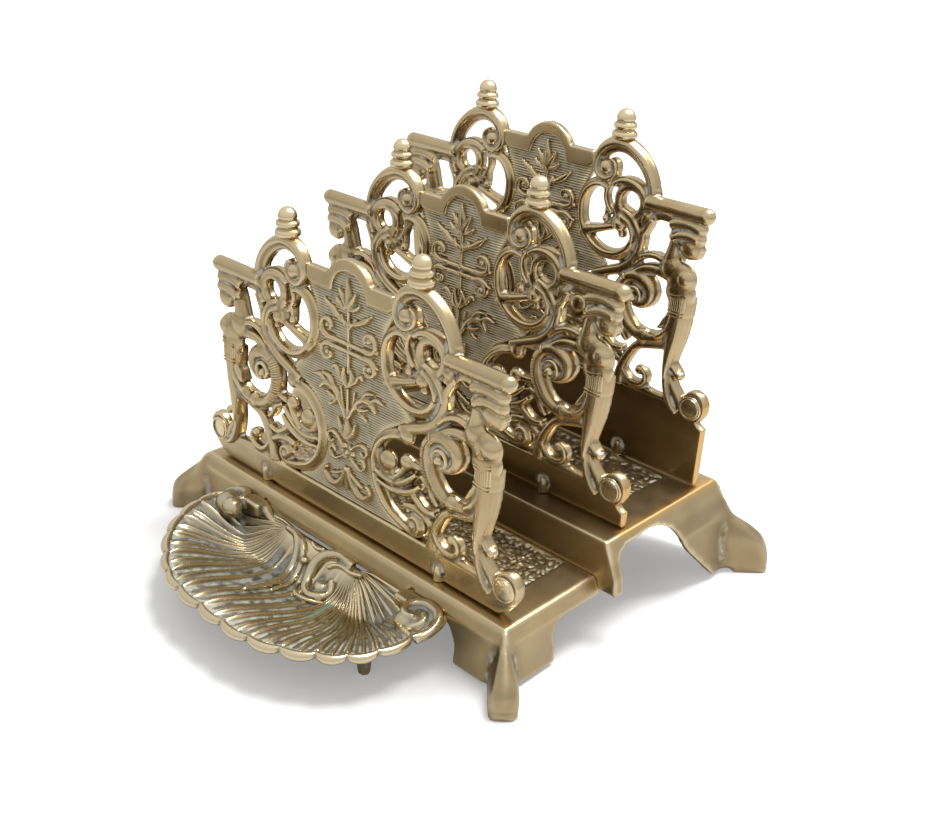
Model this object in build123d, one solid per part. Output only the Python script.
from build123d import *
import os
from math import cos, pi, sin, sqrt

# Cast brass letter rack: a stepped base on four splayed feet carries three pierced plates,
# one behind the other and each higher than the last, and a scallop dish hangs in front.
# Working frame: x along the plates, y to the back, z up, with y = 0 at the front face of the
# front plate and z = 0 on the lower tread. The finished pieces are moved so that the origin
# is under the middle of the rack, on the table.

# Driving dimensions
plate_span = 165.0
plate_thick = 3.2
relief = 1.3
panel_depth = 1.2
leaf_rise = 0.2
middle_plate_y = 53.2
back_plate_y = 98.0
middle_plate_lift = 16.6
back_plate_lift = 33.8
shadow_gap = 0.7
boss_x = 46.9
boss_radius = 2.1
boss_height = 5.8

tread_half = 80.8
tread_front = -3.3
riser_y = 42.6
rear_half = 84.2
rear_edge = 110.4
step_rise = 14.5
wall = 2.6
floor_drop = 24.2
panel_drop = 22.8
rear_splay = 18.2
front_splay = 11.4
toe_width = 10.0
ridge_width = 2.6
panel_sink = 0.5
riser_foot = -8.2
ear_foot = -4.8

shell_half = 58.6
shell_depth = 56.6
shell_back = -6.3
shell_lobes = 14
lobe_bulge = 1.9
rim_z = -5.8
dish_floor_z = -18.4
dish_wall = 2.0
scroll_x = 50.0
scroll_y = -14.0
scroll_radius = 6.2
peg_x = 43.6
peg_y = -30.0

screw_inset = 1.2
screw_radius = 1.25
screw_hole_radius = 1.4
head_radius = 1.9
head_height = 1.8
washer_radius = 2.3
washer_height = 0.6
tray_screw_x = 40.5
tray_screw_z = -5.6
pad_back = -0.9
pad_depth = 3.4
tread_bolt_x = 55.0
tread_bolt_z = -4.8

half_span = plate_span / 2


# Plane helpers
def upright(sketch, y, depth):
    """Stands a flat sketch up in the plane of the plates, from y towards the back."""
    return Pos(0, y, 0) * extrude(Plane.XZ * sketch, amount=-depth)


def loop(*points):
    """A smooth closed opening or blob through a few points."""
    return make_face(Spline(*points, periodic=True))


# Ornament of one plate, right half, seen from the front
def half_outline(bottom):
    """Outer edge of the right half, from the middle of the foot round to the crown."""
    if bottom < 0:
        foot = [
            Polyline((0, bottom), (half_span, bottom), (half_span, 4.2)),
            Spline((half_span, 4.2), (80.4, 5.1), (79.5, 6.0), (80.8, 7.6), (82.4, 11.4)),
        ]
    else:
        foot = [
            Polyline((0, bottom), (74.0, bottom)),
            Spline((74.0, bottom), (78.0, 3.2), (81.0, 7.2), (82.4, 11.4)),
        ]
    edges = foot + [
        Spline((82.4, 11.4), (81.4, 15.8), (77.4, 17.6), (73.6, 15.8), (72.2, 12.6)),
        Spline((72.2, 12.6), (69.6, 13.6), (67.2, 17.6), (67.8, 20.6), (70.6, 22.2)),
        Spline((70.6, 22.2), (67.0, 25.0), (67.4, 31.0), (69.2, 38.0), (70.2, 45.0), (71.6, 52.6)),
        Spline((71.6, 52.6), (70.8, 56.0), (71.6, 59.4), (67.6, 61.8), (64.8, 64.4)),
        Polyline((64.8, 64.4), (68.6, 65.4), (71.0, 66.4), (70.8, 67.8), (72.6, 69.0), (71.4, 71.8)),
        Spline((71.4, 71.8), (73.4, 73.6), (72.8, 76.8), (70.4, 78.6)),
        Polyline((70.4, 78.6), (72.0, 78.6)),
        Spline((72.0, 78.6), (74.5, 81.3), (72.0, 84.0)),
        Polyline((72.0, 84.0), (51.4, 84.2)),
        Spline((51.4, 84.2), (50.2, 88.0), (45.6, 95.2), (40.0, 99.4), (33.6, 101.2), (27.0, 99.4), (21.8, 94.6)),
        Polyline((21.8, 94.6), (20.4, 94.4), (10.6, 94.4)),
        ThreePointArc((10.6, 94.4), (7.9, 98.2), (0, 101.0)),
        Polyline((0, 101.0), (0, bottom)),
    ]
    return make_face(edges)


def half_openings():
    """Everything the casting is pierced with on the right half."""
    return [
        loop((33.6, 95.2), (38.4, 94.8), (42.2, 91.6), (44.8, 87.2), (41.2, 88.4), (35.4, 87.8), (33.8, 91.0)),
        loop((36.2, 79.8), (38.2, 83.4), (42.0, 83.6), (44.6, 80.6), (43.4, 77.0), (39.4, 76.0)),
        loop((20.4, 69.4), (23.6, 68.4), (26.6, 72.0), (27.2, 79.0), (25.6, 84.0), (22.2, 83.6), (19.8, 78.0)),
        loop((21.4, 63.2), (25.0, 60.2), (32.0, 58.6), (38.0, 61.4), (39.0, 65.6), (31.0, 65.2)),
        loop((47.8, 64.4), (47.6, 70.4), (51.8, 75.4), (56.0, 75.6), (58.8, 72.6), (57.2, 66.6), (54.4, 64.6)),
        loop((47.0, 42.4), (48.0, 38.6), (51.0, 36.0), (56.2, 35.6), (59.4, 39.0), (60.4, 44.0), (60.0, 50.6),
             (57.0, 51.6), (55.6, 47.8), (52.6, 44.0)),
        loop((47.8, 23.0), (51.4, 26.8), (56.4, 28.8), (60.2, 28.6), (61.6, 22.4), (63.6, 14.6), (60.0, 11.9),
             (55.4, 14.0), (55.2, 18.4), (51.8, 21.6)),
        loop((18.6, 42.2), (22.4, 46.4), (28.4, 47.2), (33.8, 44.8), (36.6, 40.6), (32.6, 39.0), (27.2, 41.4),
             (22.2, 42.0)),
        loop((16.4, 28.4), (17.6, 22.8), (22.2, 19.2), (28.0, 19.6), (28.4, 21.8), (22.6, 23.2), (19.0, 27.4)),
        loop((36.6, 25.4), (40.4, 27.4), (40.8, 31.4), (38.8, 34.6), (36.8, 31.6)),
    ]


def ring(x, z, outer_x, outer_z, band):
    """A flat oval band round one of the scroll rings."""
    return Pos(x, z) * (Ellipse(outer_x, outer_z) - Ellipse(outer_x - band, outer_z - band))


def half_relief():
    """Raised scroll bands, eyes and balls on the front of the right half."""
    bands = [
        ring(30.0, 71.0, 14.4, 14.6, 3.2),
        ring(27.2, 32.0, 15.4, 16.2, 3.4),
        ring(40.0, 79.6, 7.4, 7.4, 3.0),
    ]
    domes = [(28.2, 90.6, 3.6), (36.4, 70.8, 3.4), (34.0, 16.0, 3.4), (52.4, 18.4, 2.2), (45.6, 46.0, 2.4),
             (29.6, 48.2, 2.8), (76.3, 11.4, 4.4)]
    solids = [upright(band, -relief, relief + plate_thick / 2) for band in bands]
    for x, z, radius in domes:
        disc = Cylinder(radius, 2 * relief + plate_thick)
        solids.append(Pos(x, plate_thick / 2 - relief, z) * Rot(90, 0, 0) * disc)
    rail = Pos(62.0, 0.2, 81.3) * Rot(0, 90, 0) * Cylinder(2.7, 20.0)
    rail_end = Pos(72.0, 0.2, 81.3) * Sphere(2.7)
    solids += [rail, rail_end]
    figure = loop((61.0, 33.0), (66.6, 33.6), (68.6, 40.0), (69.6, 47.0), (70.8, 53.0), (70.2, 58.4), (65.0, 60.6),
                  (60.4, 57.6), (61.2, 50.0), (60.8, 42.0))
    solids.append(upright(figure, -2 * relief, 2 * relief + plate_thick / 2))
    head = Pos(66.2, -0.2, 70.4) * Sphere(4.6)
    turban = Pos(65.4, 0.4, 75.2) * Rot(0, 90, 0) * Cylinder(3.0, 13.0)
    bulb = loop((48.6, 44.0), (53.4, 45.4), (55.0, 49.4), (51.6, 53.6), (45.8, 54.8), (41.6, 51.6), (43.4, 47.6),
                (46.0, 49.6))
    solids += [head, turban, upright(bulb, -2 * relief, 2 * relief + plate_thick / 2)]
    return solids


def panel_recess():
    """Sunk field of the middle panel, right half, between the rings and under the crown."""
    field = make_face(Polyline((0, 10.4), (26, 10.4), (26, 60), (19.6, 86), (19.6, 88), (0, 88), close=True))
    field -= Pos(27.2, 32.0) * Ellipse(14.4, 15.2)
    field -= Pos(30.0, 71.0) * Ellipse(13.4, 13.6)
    field += Pos(0, 88) * Circle(8.5) & Pos(0, 93) * Rectangle(20, 12)
    return upright(field, -1, 1 + panel_depth)


def panel_leaves():
    """Main leaves, stems and scroll eyes that stand up from the sunk panel, right half."""
    flat = [
        loop((0.4, 84.0), (2.0, 86.4), (1.2, 90.0), (0, 94.6), (-1.2, 90.0), (-1.4, 86.4)),
        loop((1.0, 84.0), (3.6, 86.0), (4.8, 90.6), (2.4, 88.4)),
        loop((0.6, 78.0), (4.4, 78.6), (8.8, 80.8), (12.4, 85.0), (7.0, 83.0), (3.0, 80.6)),
        loop((0.4, 55.4), (2.6, 57.2), (3.2, 60.0), (1.4, 62.8), (0.0, 59.0)),
        loop((1.8, 56.0), (5.0, 57.6), (8.0, 60.6), (6.4, 62.0), (3.6, 60.0)),
        loop((0.4, 43.4), (3.6, 46.6), (7.4, 51.0), (11.6, 52.0), (15.0, 50.2), (13.4, 54.2), (8.6, 55.0),
             (4.6, 52.4), (1.8, 48.0)),
        loop((7.0, 53.6), (9.4, 54.6), (13.6, 57.4), (9.6, 58.0), (7.4, 56.4)),
        loop((12.4, 53.4), (15.0, 54.2), (18.6, 55.0), (15.0, 56.8), (12.6, 55.6)),
        loop((5.0, 49.0), (7.0, 45.8), (10.6, 45.6), (8.6, 48.2), (6.6, 50.2)),
        loop((0.6, 34.8), (3.4, 36.6), (5.0, 43.4), (2.4, 41.4), (0.4, 43.0), (-1.0, 38.0)),
        loop((0.6, 24.8), (2.6, 22.0), (3.0, 18.6), (5.0, 14.6), (9.0, 13.6), (12.6, 16.4), (12.0, 20.6),
             (9.8, 21.2), (9.6, 18.4), (7.2, 17.4), (5.4, 19.6), (3.4, 23.4)),
        loop((0.4, 24.2), (1.8, 19.6), (0.4, 14.6), (-1.2, 19.0)),
        Pos(0, 72.6) * Rectangle(1.4, 24.0),
        Pos(0, 49.2) * Rectangle(1.4, 14.4),
        Pos(5.5, 71.4) * Rectangle(13.0, 1.7),
        Pos(5.5, 68.6) * Rectangle(13.0, 1.7),
        Pos(0, 30.2) * Circle(3.4),
    ]
    flat += [Pos(x, z) * Circle(radius) for x, z, radius in ((10.8, 75.2, 2.8), (10.9, 65.4, 2.8), (8.4, 33.7, 2.2),
                                                             (7.4, 28.0, 2.2))]
    return [upright(leaf, -leaf_rise, leaf_rise + panel_depth + 0.4) for leaf in flat]


def finial(x, z):
    """Turned knob on top of the upper scroll: two rings and a dome."""
    profile = [
        (0, 0), (3.6, 0), (4.5, 0.8), (4.5, 2.2), (3.6, 3.0), (3.3, 3.3), (4.1, 4.0), (4.1, 5.2), (3.1, 6.0),
        (3.2, 7.4), (2.2, 9.4), (0, 10.4),
    ]
    outline = make_face(Polyline(*profile, close=True))
    return Pos(x, plate_thick / 2, z) * revolve(Plane.XZ * outline, axis=Axis.Z)


def screw_boss(x, bottom):
    """Half-round tapped boss that a plate stands on, with a bullet-shaped top."""
    body = Pos(x, screw_inset, bottom + boss_height / 2) * Cylinder(boss_radius, boss_height)
    top = Pos(x, screw_inset, bottom + boss_height) * Sphere(boss_radius)
    return body + top


def plate(y, lift, foot_z):
    """One pierced plate. foot_z is the tread that it stands on."""
    bottom = foot_z - lift + shadow_gap
    half = half_outline(bottom)
    for opening in half_openings():
        half -= opening
    solid = upright(half, 0, plate_thick)
    solid -= panel_recess()
    for raised in panel_leaves() + half_relief():
        solid += raised
    solid += finial(33.0, 101.0)
    solid += screw_boss(boss_x, foot_z - lift)
    solid -= Pos(boss_x, screw_inset, foot_z - lift + 2.4) * Cylinder(screw_radius + 0.05, 4.8)
    whole = solid + mirror(solid, about=Plane.YZ)
    return Pos(0, y, lift) * whole


# Base castings
def flared_block(levels, half_x, y_low, y_high, flare_low, flare_high):
    """A box whose sides lean out by the given amounts at each height."""
    sections = []
    for z, out in levels:
        low = y_low - out * flare_low
        high = y_high + out * flare_high
        sections.append(Pos(0, (low + high) / 2, z) * Rectangle(2 * (half_x + out), high - low))
    return loft(sections, ruled=True)


def toe(corner, direction, profile, full_width_z):
    """Tongue foot that runs out of a corner on its diagonal and widens downwards from a ridge.
    profile holds splay and height."""
    reach = max(out for out, z in profile)
    top = max(z for out, z in profile)
    face = make_face(Polyline(*[(out * sqrt(2), z) for out, z in profile], close=True))
    side = Plane(origin=(corner[0], corner[1], 0), x_dir=(direction[0], direction[1], 0),
                 z_dir=(direction[1], -direction[0], 0))
    tongue = extrude(side * face, amount=toe_width / 2, both=True)
    plan = Plane(origin=(corner[0], corner[1], -40), x_dir=(direction[0], direction[1], 0), z_dir=(0, 0, 1))
    length = reach * sqrt(2) + 8
    print_area = Pos(reach * sqrt(2) - length / 2, 0) * RectangleRounded(length, toe_width, 3.4)
    tongue = tongue & extrude(plan * print_area, amount=80)
    ridge, full = ridge_width / 2, toe_width / 2 + 1
    taper = make_face(Polyline((-ridge, top), (ridge, top), (full, full_width_z), (full, -40), (-full, -40),
                               (-full, full_width_z), close=True))
    front = Plane(origin=(corner[0], corner[1], 0), x_dir=(-direction[1], direction[0], 0),
                  z_dir=(direction[0], direction[1], 0))
    return tongue & extrude(front * taper, amount=40, both=True)


front_levels = [(0, 0), (-1.2, 1.2), (-5.2, 2.8), (-panel_drop, 3.6)]
rear_levels = [(step_rise, 0), (step_rise - 1.2, 0.7), (8.0, 2.9), (1.2, 5.6), (-panel_drop, 8.6)]


def inner_levels(levels):
    """The same slopes for the hollow underneath, one wall lower at the top."""
    top, bottom = levels[0], levels[-1]
    return [(top[0] - wall, 0.6)] + levels[2:-1] + [(bottom[0] - 1, bottom[1])]


def front_tread():
    """Lower step with its skirt and the two front legs. The back is open."""
    outside = flared_block(front_levels, tread_half, tread_front, riser_y, 1, 0)
    hollow = flared_block(inner_levels(front_levels), tread_half - wall, tread_front + wall, riser_y + 5, 1, 0)
    body = outside - hollow
    front_arch = make_face([
        Polyline((61.5, -40), (61.5, -20)),
        Spline((61.5, -20), (60.6, -12), (57.0, -8.2), (52.0, -7.8)),
        Polyline((52.0, -7.8), (-52.0, -7.8)),
        Spline((-52.0, -7.8), (-57.0, -8.2), (-60.6, -12), (-61.5, -20)),
        Polyline((-61.5, -20), (-61.5, -40), (61.5, -40)),
    ])
    body -= upright(front_arch, tread_front - 12, 24)
    end_arch = make_face([
        Polyline((20.0, -40), (19.4, -14)),
        Spline((19.4, -14), (20.2, -8.4), (23.6, -6.3)),
        Polyline((23.6, -6.3), (60, -6.3), (60, -40), (20.0, -40)),
    ])
    body -= extrude(Plane.YZ * end_arch, amount=120, both=True)
    back_flange = Pos(0, riser_y - wall / 2, -4.6) * Box(2 * tread_half - 2 * wall, wall, 5.0)
    body += back_flange
    foot = [(1.2, -4.6), (3.0, -5.4), (5.7, -9.0), (9.0, -13.0), (10.3, -16.0), (front_splay, -23.0),
            (front_splay - 0.4, -floor_drop), (3.6, -floor_drop), (3.0, -panel_drop), (1.2, -panel_drop)]
    for side in (1, -1):
        body += toe((side * tread_half, tread_front), (side, -1), foot, -19.0)
        body += Pos(side * tray_screw_x, pad_back - pad_depth / 2, -5.2) * Box(7.0, pad_depth, 5.2)
    body -= Pos(0, 23.2, 0) * Box(2 * 69.0, 35.6, 2 * panel_sink)
    for side in (1, -1):
        body -= Pos(side * boss_x, screw_inset, 0) * Cylinder(screw_hole_radius, 4 * wall)
        body -= Pos(side * tray_screw_x, tread_front, tray_screw_z) * Rot(90, 0, 0) * Cylinder(screw_hole_radius, 14)
        body -= Pos(side * tread_bolt_x, riser_y, tread_bolt_z) * Rot(90, 0, 0) * Cylinder(screw_hole_radius, 14)
    return body


def ear_cuts():
    """Shortens the riser where its two ends stand out beside the lower step."""
    height = ear_foot - riser_foot + 2
    blank = Box(40, 20, height)
    lift = ear_foot - height / 2
    return Part() + [Pos(side * (tread_half - 1.0 + 20), riser_y, lift) * blank for side in (1, -1)]


def rear_tread():
    """Upper step with its riser, its skirt and the two tall rear legs."""
    outside = flared_block(rear_levels, rear_half, riser_y, rear_edge, 0, 1)
    hollow = flared_block(inner_levels(rear_levels), rear_half - wall, riser_y + wall, rear_edge - wall, 0, 1)
    body = outside - hollow
    sweep = [(80.4, 5.3), (86.0, -2.8), (94.0, -11.3), (105.0, -22.0)]
    end_arch = make_face([
        Polyline((47.6, riser_foot), (47.6, 6.4)),
        Spline((47.6, 6.4), (49.6, 9.2), (56.0, 10.4), (70.0, 10.6), *sweep),
        Polyline(sweep[-1], (110.0, -30), (36, -30), (36, riser_foot), (47.6, riser_foot)),
    ])
    body -= extrude(Plane.YZ * end_arch, amount=120, both=True)
    body -= ear_cuts()
    mirrored = [(rear_half - (rear_edge - y), z) for y, z in sweep]
    rear_arch = make_face([
        Polyline((-44.0, 8.6), (44.0, 8.6)),
        Spline((44.0, 8.6), *mirrored),
        Polyline(mirrored[-1], (mirrored[-1][0], -30), (-mirrored[-1][0], -30), (-mirrored[-1][0], mirrored[-1][1])),
        Spline(*[(-x, z) for x, z in reversed(mirrored)], (-44.0, 8.6)),
    ])
    body -= upright(rear_arch, rear_edge - 14, 34)
    foot = [(2.0, 3.0), (5.8, -0.6), (10.6, -4.8), (14.6, -9.2), (16.8, -14.6), (rear_splay, -22.6),
            (rear_splay - 0.4, -floor_drop), (8.2, -floor_drop), (7.6, -panel_drop), (4.0, -panel_drop)]
    for side in (1, -1):
        body += toe((side * rear_half, rear_edge), (side, 1), foot, -13.0)
    panel_front = middle_plate_y + plate_thick + 1.2
    panel_back = back_plate_y - 1.0
    recess = Box(2 * 70.0, panel_back - panel_front, 2 * panel_sink)
    body -= Pos(0, (panel_front + panel_back) / 2, step_rise) * recess
    for side in (1, -1):
        for y in (middle_plate_y, back_plate_y):
            body -= Pos(side * boss_x, y + screw_inset, step_rise) * Cylinder(screw_hole_radius, 4 * wall)
        body -= Pos(side * tread_bolt_x, riser_y, tread_bolt_z) * Rot(90, 0, 0) * Cylinder(screw_hole_radius, 14)
    return body


# Scallop dish
def lobed_face(scale, back, z):
    """Scalloped half-oval, straight at the back, at one height of the dish."""
    corners = []
    for step in range(shell_lobes + 1):
        turn = pi + pi * step / shell_lobes
        corners.append((shell_half * scale * cos(turn), back + shell_depth * scale * sin(turn)))
    edges = []
    for index in range(shell_lobes):
        turn = pi + pi * (index + 0.5) / shell_lobes
        mid_x = shell_half * scale * cos(turn)
        mid_y = back + shell_depth * scale * sin(turn)
        crest = (mid_x + lobe_bulge * scale * cos(turn), mid_y + lobe_bulge * scale * sin(turn))
        edges.append(ThreePointArc(corners[index], crest, corners[index + 1]))
    edges.append(Line(corners[-1], corners[0]))
    return Pos(0, 0, z) * make_face(edges)


def shell_tray():
    """Dish with a lobed rim, an end scroll each side, a volute in the middle and two peg feet."""
    under = dish_floor_z - dish_wall
    outer = loft([
        lobed_face(0.56, shell_back, under),
        lobed_face(0.82, shell_back, under + 3.0),
        lobed_face(0.95, shell_back, under + 8.6),
        lobed_face(1.00, shell_back, rim_z),
    ], ruled=True)
    inner = loft([
        lobed_face(0.54, shell_back - dish_wall, dish_floor_z),
        lobed_face(0.78, shell_back - dish_wall, dish_floor_z + 2.8),
        lobed_face(0.90, shell_back - dish_wall, dish_floor_z + 8.0),
        lobed_face(0.945, shell_back - dish_wall, rim_z + 0.2),
    ], ruled=True)
    dish = outer - inner
    for side in (1, -1):
        dish += Pos(side * scroll_x, scroll_y, rim_z - 1.2) * Rot(90, 0, 0) * Sphere(scroll_radius)
        lug = Box(9.0, 6.0, 5.4)
        dish += Pos(side * (tray_screw_x + 2.0), shell_back - 3.0, tray_screw_z - 0.4) * lug
        drop = floor_drop + dish_floor_z + 4.0
        dish += Pos(side * peg_x, peg_y, -floor_drop + drop / 2) * Cone(2.1, 3.1, drop)
    volute = Pos(6.0, -16.5, dish_floor_z + 2.2) * Sphere(3.6)
    left_ridge = trace(ThreePointArc((-20, shell_back - 1.2), (-11.4, -16), (-9.4, -32)), 2.6)
    right_ridge = trace(ThreePointArc((9, shell_back - 1.2), (-1.4, -13.4), (2.4, -20.6)), 3.0)
    dish += volute
    for ridge in (left_ridge, right_ridge):
        dish += Pos(0, 0, dish_floor_z - dish_wall / 2) * extrude(ridge, amount=4.6)
    for side in (1, -1):
        shank = Pos(side * tray_screw_x, shell_back - 1.0, tray_screw_z) * Rot(90, 0, 0)
        dish -= shank * Cylinder(screw_radius + 0.05, 8.0)
    return dish


# Fasteners
def screw(length):
    """Slotted cheese-head screw, head below, shank up along z."""
    head = Pos(0, 0, -head_height / 2) * Cylinder(head_radius, head_height)
    slot = Pos(0, 0, -head_height) * Box(2 * head_radius + 1, 0.6, 1.2)
    return head + Pos(0, 0, length / 2) * Cylinder(screw_radius, length) - slot


def washer():
    """Flat washer, its lower face at z = 0."""
    return Pos(0, 0, washer_height / 2) * (Cylinder(washer_radius, washer_height) -
                                           Cylinder(screw_hole_radius, washer_height))


def nut():
    """Hexagon nut, its lower face at z = 0."""
    blank = extrude(RegularPolygon(2.9, 6), amount=2.0)
    return blank - Pos(0, 0, 1.0) * Cylinder(screw_radius + 0.05, 2.4)


def plate_places():
    """Screw axes of the three plates: x, y and the underside of the tread they go through."""
    places = []
    for y, top in ((0, 0), (middle_plate_y, step_rise), (back_plate_y, step_rise)):
        for side in (-1, 1):
            places.append((side * boss_x, y + screw_inset, top - wall))
    return places


plate_screws = [Pos(x, y, z - washer_height) * screw(7.2) for x, y, z in plate_places()]
plate_washers = [Pos(x, y, z - washer_height) * washer() for x, y, z in plate_places()]

tray_screws = []
tray_washers = []
tread_bolts = []
tread_nuts = []
for side in (-1, 1):
    lying = Pos(side * tray_screw_x, pad_back, tray_screw_z) * Rot(90, 0, 0)
    tray_washers.append(lying * Pos(0, 0, -washer_height) * washer())
    tray_screws.append(lying * Pos(0, 0, -washer_height) * screw(9.0))
    across = Pos(side * tread_bolt_x, riser_y - wall, tread_bolt_z) * Rot(-90, 0, 0)
    tread_bolts.append(across * screw(2 * wall + 2.6))
    tread_nuts.append(across * Pos(0, 0, 2 * wall) * nut())

pieces = {
    "front_tread": [front_tread()],
    "rear_tread": [rear_tread()],
    "front_plate": [plate(0, 0, 0)],
    "middle_plate": [plate(middle_plate_y, middle_plate_lift, step_rise)],
    "back_plate": [plate(back_plate_y, back_plate_lift, step_rise)],
    "shell_tray": [shell_tray()],
    "plate_screws": plate_screws,
    "plate_washers": plate_washers,
    "tray_screws": tray_screws,
    "tray_washers": tray_washers,
    "tread_bolts": tread_bolts,
    "tread_nuts": tread_nuts,
}

# Move everything so that the origin is under the middle of the rack, and write each piece
solids = {name: [solid for piece in group for solid in piece.solids()] for name, group in pieces.items()}
boxes = [solid.bounding_box() for group in solids.values() for solid in group]
middle_y = (min(box.min.Y for box in boxes) + max(box.max.Y for box in boxes)) / 2
lowest_z = min(box.min.Z for box in boxes)
home = Location((0, -middle_y, -lowest_z))
print("moved by", home.position)

os.makedirs("parts", exist_ok=True)
for name, group in solids.items():
    placed = [solid.moved(home) for solid in group]
    shape = placed[0] if len(placed) == 1 else Compound(placed)
    export_step(shape, "parts/" + name + ".step")
